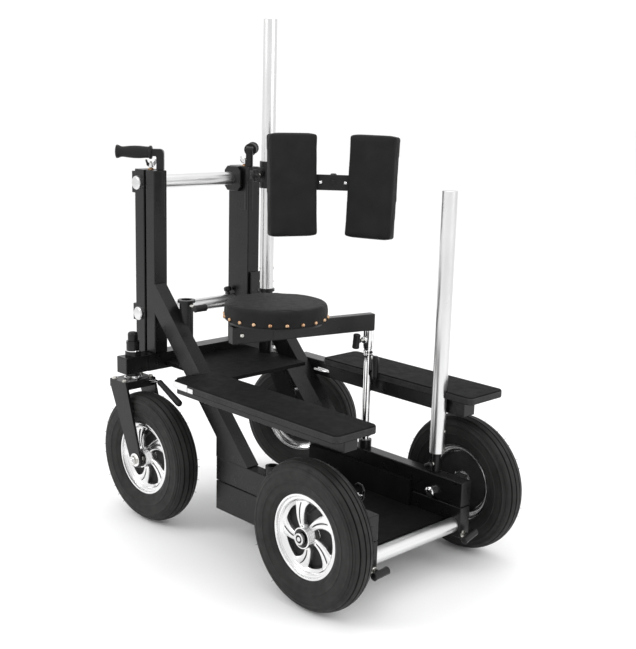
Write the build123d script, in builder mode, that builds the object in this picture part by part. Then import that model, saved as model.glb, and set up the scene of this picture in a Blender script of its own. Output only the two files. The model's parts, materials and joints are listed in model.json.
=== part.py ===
"""Four-wheeled camera operator's dolly: rigid front wheels, swivelling rear wheels, seat and back rest.

X points forward to the low platform, Y to the operator's left, Z up. Millimetres.
"""
from build123d import *
import os
from math import cos, sin, tan, radians

os.makedirs("parts", exist_ok=True)

# ---- placing: the origin is the middle of the whole dolly's footprint, on the floor ----
AXLE_X = 383.2          # front axle ahead of the origin
MID_Y = -65.6           # chassis centre plane, to the right of the origin

# ---- wheels: 4.00-8 pneumatic tyres ----
TYRE_R = 203.0
TYRE_W = 84.0
GROOVE_PITCH = 15.0
RIM_R = 114.0
RIM_HALF = 28.0         # rim lip to wheel mid plane
HUB_R = 30.0
HUB_HALF = 38.0
AXLE_D = 20.0
FIT = 0.05              # radial running clearance
GAP = 0.3               # axial clearance between pieces that turn on each other
FRONT_TRACK = 618.0     # between front wheel mid planes
AXLE_Z = TYRE_R
GROOVE = (2.4, 9.0)     # width, and height of the cutter that is centred on the tread
SHOULDER_DROP = 17.0    # tread edge below the crown
BELLY_DROP = 46.0       # widest place of the tyre below the crown
BEAD_DEPTH = 6.0        # tyre bead inside the rim's lip
BEAD_STEP = 8.0         # bead inboard of the lip
LIP_T = 8.0             # rim section
LIP_EDGE = 5.0
LIP_STEP = 7.0
WELL_DEPTH = 20.0
WELL_STEP = 12.0
SPOKES = 5
SPOKE_T = 12.0
SPOKE_FACE = 16.0       # front of the spokes, outward of the wheel's mid plane
AXLE_HEAD_R = 15.0
AXLE_BOSS = 8.0         # wall of the boss that holds the stub axle in a rail
SPACER_R = 18.0

# ---- side frames ----
SIDE_IN = 171.0         # inner face of the side frames from the centre plane
SIDE_OUT = 213.0
RAIL_FRONT = 107.0      # all X sizes below are measured from the front axle
RAIL_REAR = -515.0
BOX_BOTTOM = 92.0
BOX_TOP = 182.0
RAIL_BOTTOM = 184.0
RAIL_TOP = 256.0
WALL = 3.0
STRUT_FOOT = -369.0     # where the strut's front edge meets the rail top
STRUT_ANGLE = 46.35
STRUT_DEPTH = 64.0

# ---- rear uprights and the transverse beam ----
POST_FRONT = -824.0
POST_REAR = -926.0
POST_GAP = (-878.0, -868.0)
POST_IN = 163.0
POST_OUT = 211.0
POST_TOP = 1075.0
WEB_T = 6.0             # inner web that joins the two posts and closes the slot on that side
BEAM_X = (-876.0, -824.0)
BEAM_Z = (456.0, 508.0)
BEAM_END = 236.0
SLIDE_SIZE = 44.0
SLIDE_LEN = 170.0
KING_X = -850.0
KING_Y = {"right": 276.0, "left": 342.0}   # the left slide is drawn out to widen the track
KING_D = 20.0
THRUST_R = 22.0         # ring between the crown and the beam
KING_CAP = (            # flange, neck, body and dome: radius, foot and top above the slide
    (24.0, 0.0, 13.0),
    (17.0, 13.0, 19.0),
    (20.0, 19.0, 46.0),
    (15.5, 46.0, 75.0),
)
DOME_FILLET = 9.0
HEAD_BACK = 40.0        # slide head, inboard of the kingpin
HEAD_FRONT = 42.0

# ---- rear forks ----
TRAIL = 84.0
CROWN_Z = (412.0, 437.0)
CROWN_REAR = -892.0
CROWN_FRONT = -812.0
BLADE_IN = 49.0
BLADE_T = 8.0
NUT_R = 15.0
NUT_T = 12.0
DROPOUT_R = 26.0        # rounded end of each blade
LEVER_Y = 30.0
LEVER_KNEE = (91.0, 438.0)
LEVER_TIP = (196.0, 386.0)
LEVER_GRIP_R = 9.0
STEER = {"right": 2.0, "left": 24.2}       # how far each rear wheel stands turned, degrees

# ---- cross tubes ----
TUBE_R = 21.0
TUBE_WALL = 3.0
TUBE_X = -902.0
TOP_TUBE_Z = 1034.0
LOW_TUBE_Z = 625.0
FRONT_TUBE_Z = 125.0
FRONT_TUBE_X = 80.0

# ---- platform and upper deck ----
FLOOR_TOP = 137.0
FLOOR_T = 6.0
FLOOR_X = (-505.0, 50.0)
TRAY_SIDE_TOP = 214.0
TRAY_SIDE_IN = 160.0
TRAY_SIDE_FRONT = -80.0
DECK_X = (BEAM_X[1], -545.0)
DECK_TOP = 478.0
DECK_T = 12.0

# ---- benches ----
BOARD_TOP = 502.0
BOARD_T = 22.0
BOARD_Y = (188.0, 338.0)
BOARD_FRONT = 107.0
BOARD_REAR = {"right": -562.0, "left": -484.0}
BOARD_CORNER = 16.0
BOARD_EDGE = 3.0
NOTCH_MOUTH = 40.0
BENCH_BEAM_Y = (215.0, 265.0)
BENCH_BEAM_H = 50.0
BENCH_BEAM_X = (-640.0, 64.0)
NOTCH_GAP = 1.5             # room round the pole and the post in the left board's inner edge

# ---- pole sockets and poles ----
POLE_R = 21.5
SOCKET_X = -728.0
SOCKET_Y = 162.0
SOCKET_TOP = 690.0
SOCKET_R = 21.0
SPIGOT_R = 16.0
SPIGOT_DEPTH = 150.0
SOCKET_KNOB_Z = SOCKET_TOP - 16
REAR_POLE_TOP = 1536.0
STUB_X = -8.0
STUB_Y = 192.0
STUB_R = 12.5
STUB_TOP = 372.0
FRONT_POLE_Z = (314.0, 1066.0)

# ---- seat ----
SEAT_POST_X = -290.0
SEAT_POST_Y = 190.0
SEAT_POST_R = 13.0
SEAT_POST_Z = (112.0, 626.0)
SEAT_SOCKET_TOP = 283.0
SLEEVE_R = 16.5
SLEEVE_H = 50.0
SEAT_ARM_ANGLE = 256.3      # heading of the seat arm away from its post
SEAT_ARM_SIZE = (28.0, 50.0)
SEAT_ARM_LEN = 472.0
SEAT_ARM_TAIL = 11.5
SEAT_SPIGOT_R = 7.0
SEAT_REACH = 318.0          # post axis to seat centre
SEAT_R = 149.0
SEAT_T = 50.0
SEAT_EDGE = 9.0
SEAT_TURN_R = 15.0

NOTCHES = {
    "right": (),
    "left": ((STUB_X, STUB_Y, POLE_R), (SEAT_POST_X, SEAT_POST_Y, SEAT_POST_R)),
}

# ---- back rest ----
BACK_Z = 1058.0
BACK_PIVOT_X = -432.0       # vertical pin that the pads' plate turns on
BACK_PLATE_OFF = 26.0       # plate ahead of that pin
BACK_PLATE_HALF = 50.0
BACK_WING = 62.0
CLAMP_R = 27.0
CLAMP_H = 84.0
CLAMP_PAD = 16.0            # square pad on the clamp that its knob bears on
BACK_HEADING = -47.0        # way that the back rest faces
PAD_H = 298.0
PAD_W = 148.0
PAD_DROP = 6.0
PAD_T = 40.0
PAD_CORNER = 8.0
PAD_EDGE = 7.0
PAD_START = 14.0            # pad edge beyond the plate's bend
PAD_STAND_OFF = 12.0
PAD_VEE = 24.0              # each pad's turn towards the other
PAD_RAKE = 4.0
PLATE_T = 5.0
PLATE_H = 46.0
LUG_T = 7.0
PIN_R = 5.0
EYE_R = 12.0
EYE_H = 24.0
ARM_THICK = 16.0

# ---- push handles ----
BAR_R = 10.0            # round foot inside the upright
BAR_SIDE = 22.0         # square bar above it
BAR_X = -838.0
BAR_Y = 177.0
BAR_TOP = 1128.0
BAR_DEPTH = 140.0
BAR_FOOT = POST_TOP - BAR_DEPTH + 8
BAR_REACH = 26.0
GRIP_LEN = 106.0
GRIP_R = 17.0
GRIP_HEADING = {"right": 225.0, "left": 135.0}

# ---- clamp knobs ----
KNOB_BAR_R = 11.0
KNOB_SCREW_R = 4.0
RAIL_KNOB_Y = 185.0
RAIL_KNOB_Z = 103.0
RAIL_KNOB_TURN = {"right": 4.0, "left": 16.0}
SCREW_R = 4.0
SCREW_Y = 187.0
SCREW_Z = (1000.0, 1098.0)
CLAMP_DEEP = 20.0
CLAMP_TALL = 66.0

SIDES = (("right", -1), ("left", 1))


def put(x, y, z):
    """A point given from the front axle, the centre plane and the floor."""
    return (AXLE_X + x, MID_Y + y, z)


def save(builder, label):
    builder.part.label = label
    export_step(builder.part, f"parts/{label}.step")


def mid(pair):
    return (pair[0] + pair[1]) / 2


def span(pair):
    return abs(pair[1] - pair[0])


# ---- side frames ----
def closed_box(x, y, z, radius=3.0):
    """A closed box-section tube between two X, two Y and two Z places."""
    with BuildPart() as tube:
        with Locations(put(mid(x), mid(y), mid(z))):
            Box(span(x), span(y), span(z))
            fillet(tube.edges(), radius)
            Box(span(x) - 2 * WALL, span(y) - 2 * WALL, span(z) - 2 * WALL, mode=Mode.SUBTRACT)
    return tube


def side_rails(side, sign):
    depth = (sign * SIDE_IN, sign * SIDE_OUT)
    axle = Location(put(0, sign * mid((SIDE_IN, SIDE_OUT)), AXLE_Z), (90, 0, 0))
    post = Location(put(SEAT_POST_X, sign * SEAT_POST_Y, mid((BOX_BOTTOM, RAIL_TOP))))
    cross = Location(put(FRONT_TUBE_X, sign * mid((SIDE_IN, SIDE_OUT)), FRONT_TUBE_Z), (90, 0, 0))
    with BuildPart() as rail:
        add(closed_box((RAIL_REAR, RAIL_FRONT), depth, (RAIL_BOTTOM, RAIL_TOP)).part)
        with Locations(axle):
            Cylinder(AXLE_D / 2 + AXLE_BOSS, span(depth) - 1)
            Cylinder(AXLE_D / 2, span(depth) + 2, mode=Mode.SUBTRACT)
        with Locations(post):
            Cylinder(SEAT_POST_R + FIT, 2 * RAIL_TOP, mode=Mode.SUBTRACT)
    save(rail, f"{side}_upper_rail")
    with BuildPart() as box:
        add(closed_box((RAIL_REAR, RAIL_FRONT), depth, (BOX_BOTTOM, BOX_TOP)).part)
        with Locations(cross):
            Cylinder(TUBE_R, span(depth) + 2, mode=Mode.SUBTRACT)
        with Locations(put(SEAT_POST_X, sign * SEAT_POST_Y, BOX_TOP - 30)):
            Cylinder(SEAT_POST_R + FIT, 2 * WALL + 60, mode=Mode.SUBTRACT)
    save(box, f"{side}_lower_box")


def strut(side, sign):
    lean = tan(radians(STRUT_ANGLE))
    across = STRUT_DEPTH / sin(radians(STRUT_ANGLE))
    post_rise = (STRUT_FOOT - POST_FRONT) * lean
    outline = [
        (STRUT_FOOT, RAIL_TOP),
        (POST_FRONT, RAIL_TOP + post_rise),
        (POST_FRONT, RAIL_TOP + post_rise - across * lean),
        (RAIL_REAR, RAIL_TOP + (STRUT_FOOT - RAIL_REAR) * lean - across * lean),
        (RAIL_REAR, RAIL_TOP),
    ]
    face = Plane(origin=put(0, sign * SIDE_IN, 0), x_dir=(1, 0, 0), z_dir=(0, -1, 0))
    with BuildPart() as member:
        with BuildSketch(face):
            with BuildLine():
                Polyline(*outline, close=True)
            make_face()
        extrude(amount=-sign * span((SIDE_IN, SIDE_OUT)))
        fillet(member.edges().filter_by(Axis.Y), 2.5)
        with BuildSketch(face.offset(-sign * WALL)):
            with BuildLine():
                Polyline(*outline, close=True)
            make_face()
            offset(amount=-WALL - 0.5, kind=Kind.INTERSECTION)
        extrude(amount=-sign * (span((SIDE_IN, SIDE_OUT)) - 2 * WALL), mode=Mode.SUBTRACT)
        with Locations(put(SOCKET_X, sign * SOCKET_Y, mid((DECK_TOP, SOCKET_TOP)))):
            Cylinder(SOCKET_R, SOCKET_TOP, mode=Mode.SUBTRACT)
    save(member, f"{side}_strut")


# ---- rear uprights: a rear and a front post with a slot between them, open outwards ----
def upright(side, sign):
    depth = (sign * POST_IN, sign * POST_OUT)
    rear = (POST_REAR, POST_GAP[0])
    front = (POST_GAP[1], POST_FRONT)
    with BuildPart() as posts:
        add(closed_box(rear, depth, (BEAM_Z[0], POST_TOP)).part)
        add(closed_box(front, depth, (BEAM_Z[1], POST_TOP)).part)
        web = (BEAM_Z[1], POST_TOP)
        with Locations(put(mid(POST_GAP), sign * (POST_IN + WEB_T / 2), mid(web))):
            Box(span(POST_GAP) + 4, WEB_T, span(web))
        with Locations(put(BAR_X, sign * BAR_Y, POST_TOP - BAR_DEPTH / 2)):
            Cylinder(BAR_R + 5, BAR_DEPTH)
        with Locations(put(BAR_X, sign * BAR_Y, POST_TOP - BAR_DEPTH / 2 + 5)):
            Cylinder(BAR_R + FIT, BAR_DEPTH, mode=Mode.SUBTRACT)
        for height in (TOP_TUBE_Z, LOW_TUBE_Z):
            with Locations(Location(put(TUBE_X, sign * mid((POST_IN, POST_OUT)), height), (90, 0, 0))):
                Cylinder(TUBE_R, POST_OUT, mode=Mode.SUBTRACT)
    save(posts, f"{side}_upright")


def cross_tube(label, x, z, half):
    with BuildPart() as tube:
        with Locations(Location(put(x, 0, z), (90, 0, 0))):
            Cylinder(TUBE_R, 2 * half)
            Cylinder(TUBE_R - TUBE_WALL, 2 * half - 12, mode=Mode.SUBTRACT)
        chamfer(tube.edges().filter_by(GeomType.CIRCLE).sort_by(SortBy.RADIUS)[-2:], 1.2)
    save(tube, label)


# ---- wheels ----
def tyre(label, centre, turn):
    """A rib tyre: a closed ring with four shallow grooves round its tread."""
    inner = RIM_R - BEAD_DEPTH
    shoulder = TYRE_R - SHOULDER_DROP
    belly = TYRE_R - BELLY_DROP
    half = TYRE_W / 2
    bead = RIM_HALF - BEAD_STEP
    with BuildPart() as ring:
        with BuildSketch(Plane.XY):
            with BuildLine():
                crown = ThreePointArc((-half + 9, shoulder + 4), (0, TYRE_R), (half - 9, shoulder + 4))
                right = Spline(crown @ 1, (half, belly), (half - 13, RIM_R + 4),
                               tangents=((0.55, -0.6), (-0.55, -1)))
                Polyline(right @ 1, (bead, RIM_R + 1), (bead, inner), (-bead, inner), (-bead, RIM_R + 1),
                         (-half + 13, RIM_R + 4))
                Spline(crown @ 0, (-half, belly), (-half + 13, RIM_R + 4),
                       tangents=((-0.55, -0.6), (0.55, -1)))
            make_face()
            with GridLocations(GROOVE_PITCH, 0, 4, 1):
                with Locations((0, TYRE_R)):
                    Rectangle(*GROOVE, mode=Mode.SUBTRACT)
        revolve(axis=Axis.X)
    place(ring, centre, turn)
    save(ring, label)


def place(ring, centre, turn):
    """Turn a wheel piece made about the X axis so that its axle lies along Y, then steer it."""
    ring.part = ring.part.moved(Location(centre, (0, 0, 90 + turn)))


def rim(label, centre, turn, outside):
    """Cast alloy rim: a stepped barrel, five swept spokes and a hub that stands proud outside."""
    lip = RIM_R
    foot = lip - LIP_STEP
    well = RIM_R - WELL_DEPTH
    back = SPOKE_FACE - SPOKE_T if outside > 0 else -SPOKE_FACE
    with BuildPart() as wheel:
        with BuildSketch(Plane.XY):
            with BuildLine():
                Polyline((-RIM_HALF, lip), (-RIM_HALF + LIP_EDGE, lip), (-RIM_HALF + LIP_STEP, foot),
                         (RIM_HALF - LIP_STEP, foot), (RIM_HALF - LIP_EDGE, lip), (RIM_HALF, lip),
                         (RIM_HALF, lip - LIP_T), (RIM_HALF - WELL_STEP, well),
                         (-RIM_HALF + WELL_STEP, well), (-RIM_HALF, lip - LIP_T), close=True)
            make_face()
        revolve(axis=Axis.X)
        with BuildSketch(Plane.YZ.offset(back)):
            with PolarLocations(0, SPOKES):
                with BuildLine():
                    fore = ThreePointArc((10, 16), (16, 56), (58, well - 14))
                    Line(fore @ 1, (16, well + 2))
                    aft = ThreePointArc((16, well + 2), (-14, 60), (-12, 16))
                    Line(aft @ 1, (10, 16))
                make_face()
        extrude(amount=SPOKE_T)
        with Locations(Location((0, 0, 0), (0, 90, 0))):
            Cylinder(HUB_R, 2 * HUB_HALF)
            Cylinder(AXLE_D / 2 + FIT, 3 * HUB_HALF, mode=Mode.SUBTRACT)
    place(wheel, centre, turn)
    save(wheel, label)


# ---- rear running gear ----
def slide_beam(side, sign):
    king = sign * KING_Y[side]
    head = (king - sign * HEAD_BACK, king + sign * HEAD_FRONT)
    with BuildPart() as slide:
        with Locations(put(mid(BEAM_X), mid(head), mid(BEAM_Z))):
            Box(span(BEAM_X), span(head), span(BEAM_Z))
        fillet(slide.edges(), 3)
        inner = (head[0] - sign * SLIDE_LEN, head[0] + sign * WALL)
        with Locations(put(mid(BEAM_X), mid(inner), mid(BEAM_Z))):
            Box(SLIDE_SIZE, span(inner), SLIDE_SIZE)
            Box(SLIDE_SIZE - 2 * WALL, span(inner) - 2 * WALL, SLIDE_SIZE - 2 * WALL, mode=Mode.SUBTRACT)
        with Locations(put(KING_X, king, mid(BEAM_Z))):
            Cylinder(KING_D / 2 + FIT, 2 * span(BEAM_Z), mode=Mode.SUBTRACT)
    save(slide, f"{side}_track_slide")


def fork(side, sign):
    """A crown over the wheel and two flat blades that lean forward to the axle."""
    with BuildPart() as yoke:
        with Locations((mid((CROWN_REAR, CROWN_FRONT)) - KING_X, 0, mid(CROWN_Z))):
            Box(span((CROWN_REAR, CROWN_FRONT)), 2 * (BLADE_IN + BLADE_T), span(CROWN_Z))
        for face in (BLADE_IN, -BLADE_IN - BLADE_T):
            with BuildSketch(Plane(origin=(0, face + BLADE_T, 0), x_dir=(1, 0, 0), z_dir=(0, -1, 0))):
                with Locations((mid((CROWN_REAR, CROWN_FRONT)) - KING_X, CROWN_Z[1] - 8)):
                    Rectangle(span((CROWN_REAR, CROWN_FRONT)), 16)
                with Locations((TRAIL, AXLE_Z)):
                    Circle(DROPOUT_R)
                make_hull()
            extrude(amount=BLADE_T)
        with Locations((0, 0, mid(CROWN_Z))):
            Cylinder(KING_D / 2, 2 * span(CROWN_Z), mode=Mode.SUBTRACT)
        with Locations(Location((TRAIL, 0, AXLE_Z), (90, 0, 0))):
            Cylinder(AXLE_D / 2, 4 * BLADE_IN, mode=Mode.SUBTRACT)
    yoke.part = yoke.part.moved(king_place(side, sign))
    save(yoke, f"{side}_fork")


def king_place(side, sign):
    return Location(put(KING_X, sign * KING_Y[side], 0), (0, 0, STEER[side]))


def kingpin(side, sign):
    """Swivel pin with its thrust ring, flange and domed cap, and the wheel axle with its two nuts."""
    with BuildPart() as pin:
        shank = (CROWN_Z[0], BEAM_Z[1] + 6)
        ring = (CROWN_Z[1], BEAM_Z[0] - 0.5)
        base = BEAM_Z[1] + 0.5
        with Locations((0, 0, mid(shank))):
            Cylinder(KING_D / 2, span(shank))
        with Locations((0, 0, mid(ring))):
            Cylinder(THRUST_R, span(ring))
        for radius, low, high in KING_CAP:
            with Locations((0, 0, base + (low + high) / 2)):
                Cylinder(radius, high - low)
        fillet(pin.faces().sort_by(Axis.Z)[-1].edges(), DOME_FILLET)
    with BuildPart() as axle:
        with Locations(Location((TRAIL, 0, AXLE_Z), (90, 0, 0))):
            Cylinder(AXLE_D / 2, 2 * (BLADE_IN + BLADE_T))
        for way in (-1, 1):
            nut = Plane(origin=(TRAIL, way * (BLADE_IN + BLADE_T), AXLE_Z), z_dir=(0, way, 0))
            with BuildSketch(nut):
                RegularPolygon(NUT_R, 6)
            extrude(amount=NUT_T)
    pin.part = pin.part.moved(king_place(side, sign))
    axle.part = axle.part.moved(king_place(side, sign))
    save(pin, f"{side}_kingpin")
    save(axle, f"{side}_rear_axle")


def lock_lever(side, sign):
    """Swivel lock: a chrome arm on the crown's front that ends in a black hand grip over the tyre."""
    inboard = -sign * LEVER_Y
    root = Vector(CROWN_FRONT - KING_X + 1.0, inboard, CROWN_Z[1] - 6)
    knee = Vector(LEVER_KNEE[0], inboard, LEVER_KNEE[1])
    tip = Vector(LEVER_TIP[0], inboard, LEVER_TIP[1])
    with BuildPart() as lever:
        for start, end, radius in ((root, knee, 5.0), (knee, tip, LEVER_GRIP_R)):
            with BuildSketch(Plane(origin=start, z_dir=end - start)):
                Circle(radius)
            extrude(amount=(end - start).length)
        with Locations(knee):
            Sphere(LEVER_GRIP_R)
    lever.part = lever.part.moved(king_place(side, sign))
    save(lever, f"{side}_lock_lever")


def wheel_centre(side, sign):
    """Rear wheel centre, trailing behind its steered kingpin."""
    angle = radians(STEER[side])
    x = KING_X + TRAIL * cos(angle)
    y = sign * KING_Y[side] + TRAIL * sin(angle)
    return put(x, y, AXLE_Z)


# ---- build: side frames, uprights and cross tubes ----
for side, sign in SIDES:
    side_rails(side, sign)
    strut(side, sign)
    upright(side, sign)
cross_tube("front_cross_tube", FRONT_TUBE_X, FRONT_TUBE_Z, SIDE_OUT - 1)
cross_tube("top_cross_tube", TUBE_X, TOP_TUBE_Z, POST_OUT + 12)
cross_tube("lower_cross_tube", TUBE_X, LOW_TUBE_Z, POST_OUT + 10)

# ---- build: rear beam, slides, forks ----
with BuildPart() as rear_beam:
    with Locations(put(mid(BEAM_X), 0, mid(BEAM_Z))):
        Box(span(BEAM_X), 2 * BEAM_END, span(BEAM_Z))
        Box(SLIDE_SIZE + 0.1, 2 * BEAM_END, SLIDE_SIZE + 0.1, mode=Mode.SUBTRACT)
save(rear_beam, "rear_beam")
for side, sign in SIDES:
    slide_beam(side, sign)
    fork(side, sign)
    kingpin(side, sign)
    lock_lever(side, sign)
    front = put(0, sign * FRONT_TRACK / 2, AXLE_Z)
    tyre(f"{side}_front_tyre", front, 0)
    rim(f"{side}_front_rim", front, 0, sign)
    rear = wheel_centre(side, sign)
    tyre(f"{side}_rear_tyre", rear, STEER[side])
    rim(f"{side}_rear_rim", rear, STEER[side], sign)

with BuildPart() as stub_axles:
    for side, sign in SIDES:
        inner = sign * (SIDE_IN - 12)
        outer = sign * (FRONT_TRACK / 2 + HUB_HALF + 4)
        with Locations(Location(put(0, mid((inner, outer)), AXLE_Z), (90, 0, 0))):
            Cylinder(AXLE_D / 2, span((inner, outer)))
        with Locations(Location(put(0, sign * (SIDE_IN - 6), AXLE_Z), (90, 0, 0))):
            Cylinder(AXLE_HEAD_R, 12)
        with Locations(Location(put(0, sign * (FRONT_TRACK / 2 + HUB_HALF + 4), AXLE_Z), (90, 0, 0))):
            Cylinder(AXLE_HEAD_R, 7.4)
        spacer = (sign * SIDE_OUT, sign * (FRONT_TRACK / 2 - HUB_HALF - GAP))
        with Locations(Location(put(0, mid(spacer), AXLE_Z), (90, 0, 0))):
            Cylinder(SPACER_R, span(spacer))
save(stub_axles, "front_stub_axles")

# ---- build: platform tray and upper deck ----
with BuildPart() as tray:
    with Locations(put(mid(FLOOR_X), 0, FLOOR_TOP - FLOOR_T / 2)):
        Box(span(FLOOR_X), 2 * SIDE_IN, FLOOR_T)
    with Locations(put(FLOOR_X[1] - 2, 0, FLOOR_TOP - 14)):
        Box(4, 2 * SIDE_IN, 28)
    for side, sign in SIDES:
        flange = (sign * TRAY_SIDE_IN, sign * SIDE_IN)
        along = (FLOOR_X[0], TRAY_SIDE_FRONT)
        rise = (FLOOR_TOP, TRAY_SIDE_TOP)
        with Locations(put(mid(along), mid(flange), mid(rise))):
            Box(span(along), span(flange), span(rise))
save(tray, "platform_tray")

with BuildPart() as deck:
    with Locations(put(mid(DECK_X), 0, DECK_TOP - DECK_T / 2)):
        Box(span(DECK_X), 2 * SIDE_IN, DECK_T)
    chamfer(deck.edges().filter_by(Axis.Y).group_by(Axis.X)[-1], 1.5)
save(deck, "upper_deck")

# ---- build: benches ----
with BuildPart() as bench_beams:
    for side, sign in SIDES:
        add(closed_box(BENCH_BEAM_X, (sign * BENCH_BEAM_Y[0], sign * BENCH_BEAM_Y[1]),
                       (BOARD_TOP - BOARD_T - BENCH_BEAM_H, BOARD_TOP - BOARD_T)).part)
save(bench_beams, "bench_beams")
for side, sign in SIDES:
    with BuildPart() as board:
        reach = (BOARD_REAR[side], BOARD_FRONT)
        with Locations(put(mid(reach), sign * mid(BOARD_Y), BOARD_TOP - BOARD_T / 2)):
            Box(span(reach), span(BOARD_Y), BOARD_T)
        fillet(board.edges().filter_by(Axis.Z), BOARD_CORNER)
        fillet(board.faces().sort_by(Axis.Z)[-1].outer_wire().edges(), BOARD_EDGE)
        for x, y, radius in NOTCHES[side]:
            with Locations(put(x, y, BOARD_TOP - BOARD_T / 2)):
                Cylinder(radius + NOTCH_GAP, 2 * BOARD_T, mode=Mode.SUBTRACT)
            with Locations(put(x, y - NOTCH_MOUTH / 2, BOARD_TOP - BOARD_T / 2)):
                Box(2 * (radius + NOTCH_GAP), NOTCH_MOUTH, 2 * BOARD_T, mode=Mode.SUBTRACT)
    save(board, f"{side}_bench_board")

# ---- build: sockets, stubs and poles ----
with BuildPart() as sockets:
    for side, sign in SIDES:
        with Locations(put(SOCKET_X, sign * SOCKET_Y, mid((DECK_TOP, SOCKET_TOP)))):
            Cylinder(SOCKET_R, SOCKET_TOP - DECK_TOP)
        with Locations(put(SOCKET_X, sign * SOCKET_Y, SOCKET_TOP - 4)):
            Cylinder(SOCKET_R + 6, 8)
        with Locations(put(SOCKET_X, sign * SOCKET_Y, SOCKET_TOP - SPIGOT_DEPTH / 2)):
            Cylinder(SPIGOT_R, SPIGOT_DEPTH, mode=Mode.SUBTRACT)
save(sockets, "pole_sockets")

with BuildPart() as seat_sockets:
    for side, sign in SIDES:
        with Locations(put(SEAT_POST_X, sign * SEAT_POST_Y, mid((RAIL_TOP, SEAT_SOCKET_TOP)))):
            Cylinder(SEAT_POST_R + 7, SEAT_SOCKET_TOP - RAIL_TOP)
            Cylinder(SEAT_POST_R + FIT, 2 * RAIL_TOP, mode=Mode.SUBTRACT)
save(seat_sockets, "seat_sockets")

with BuildPart() as pole_stub:
    with Locations(put(STUB_X, STUB_Y, mid((RAIL_TOP, STUB_TOP)))):
        Cylinder(STUB_R, STUB_TOP - RAIL_TOP)
save(pole_stub, "pole_stub")

with BuildPart() as rear_pole:
    with Locations(put(SOCKET_X, SOCKET_Y, mid((SOCKET_TOP + GAP, REAR_POLE_TOP)))):
        Cylinder(POLE_R, REAR_POLE_TOP - SOCKET_TOP - GAP)
    chamfer(rear_pole.edges().filter_by(GeomType.CIRCLE), 1.0)
    with Locations(put(SOCKET_X, SOCKET_Y, mid((SOCKET_TOP + 8, REAR_POLE_TOP - 8)))):
        Cylinder(POLE_R - TUBE_WALL, REAR_POLE_TOP - SOCKET_TOP - 16, mode=Mode.SUBTRACT)
    with Locations(put(SOCKET_X, SOCKET_Y, SOCKET_TOP + 5 - SPIGOT_DEPTH / 2)):
        Cylinder(SPIGOT_R - FIT, SPIGOT_DEPTH)
save(rear_pole, "rear_pole")

with BuildPart() as front_pole:
    with Locations(put(STUB_X, STUB_Y, mid(FRONT_POLE_Z))):
        Cylinder(POLE_R, span(FRONT_POLE_Z))
    chamfer(front_pole.edges().filter_by(GeomType.CIRCLE), 1.0)
    with Locations(put(STUB_X, STUB_Y, FRONT_POLE_Z[0] + 30)):
        Cylinder(STUB_R + FIT, 60.2, mode=Mode.SUBTRACT)
    with Locations(put(STUB_X, STUB_Y, mid((FRONT_POLE_Z[0] + 68, FRONT_POLE_Z[1] - 8)))):
        Cylinder(POLE_R - TUBE_WALL, span(FRONT_POLE_Z) - 76, mode=Mode.SUBTRACT)
save(front_pole, "front_pole")

# ---- build: seat ----
post_top = put(SEAT_POST_X, SEAT_POST_Y, SEAT_POST_Z[1])
with BuildPart() as seat_post:
    with Locations(put(SEAT_POST_X, SEAT_POST_Y, mid(SEAT_POST_Z))):
        Cylinder(SEAT_POST_R, span(SEAT_POST_Z))
    with Locations(put(SEAT_POST_X, SEAT_POST_Y, SEAT_POST_Z[1] - SLEEVE_H / 2)):
        Cylinder(SLEEVE_R, SLEEVE_H)
    with Locations(put(SEAT_POST_X, SEAT_POST_Y, SEAT_POST_Z[1] + 20)):
        Cylinder(SEAT_SPIGOT_R, 40)
save(seat_post, "seat_post")

arm_along = (cos(radians(SEAT_ARM_ANGLE)), sin(radians(SEAT_ARM_ANGLE)))
seat_centre = put(SEAT_POST_X + SEAT_REACH * arm_along[0], SEAT_POST_Y + SEAT_REACH * arm_along[1], 0)
arm_z = (SEAT_POST_Z[1] + 0.5, SEAT_POST_Z[1] + 0.5 + SEAT_ARM_SIZE[1])
with BuildPart() as seat_arm:
    arm_plane = Plane(origin=(post_top[0], post_top[1], mid(arm_z)), x_dir=(*arm_along, 0), z_dir=(0, 0, 1))
    with BuildSketch(arm_plane.offset(-SEAT_ARM_SIZE[1] / 2)):
        with Locations((SEAT_ARM_LEN / 2 - SEAT_ARM_TAIL, 0)):
            Rectangle(SEAT_ARM_LEN, SEAT_ARM_SIZE[0])
    extrude(amount=SEAT_ARM_SIZE[1])
    fillet(seat_arm.edges(), 2.5)
    with Locations((post_top[0], post_top[1], arm_z[0] + 19.5)):
        Cylinder(SEAT_SPIGOT_R + FIT, 41.2, mode=Mode.SUBTRACT)
    with Locations((seat_centre[0], seat_centre[1], arm_z[1] - 2)):
        Cylinder(SEAT_TURN_R, 10)
save(seat_arm, "seat_arm")

seat_base = arm_z[1] + 3.3
with BuildPart() as seat_plate:
    with BuildSketch(Plane.XY.offset(seat_base)):
        with Locations(seat_centre[:2]):
            Circle(SEAT_R - 12)
    extrude(amount=6)
save(seat_plate, "seat_plate")
with BuildPart() as seat_cushion:
    with BuildSketch(Plane.XY.offset(seat_base + 6)):
        with Locations(seat_centre[:2]):
            Circle(SEAT_R)
    extrude(amount=SEAT_T)
    fillet(seat_cushion.edges().group_by(Axis.Z)[-1], SEAT_EDGE)
save(seat_cushion, "seat_cushion")

# ---- build: back rest ----
facing = Vector(cos(radians(BACK_HEADING)), sin(radians(BACK_HEADING)), 0)
pole = put(SOCKET_X, SOCKET_Y, BACK_Z)
pin = put(BACK_PIVOT_X, SOCKET_Y, BACK_Z)


def back_plane(height):
    """Level plane at the back rest's pin: X is the way it faces, Y its wearer's left."""
    return Plane(origin=(pin[0], pin[1], BACK_Z + height), x_dir=facing, z_dir=(0, 0, 1))


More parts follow.
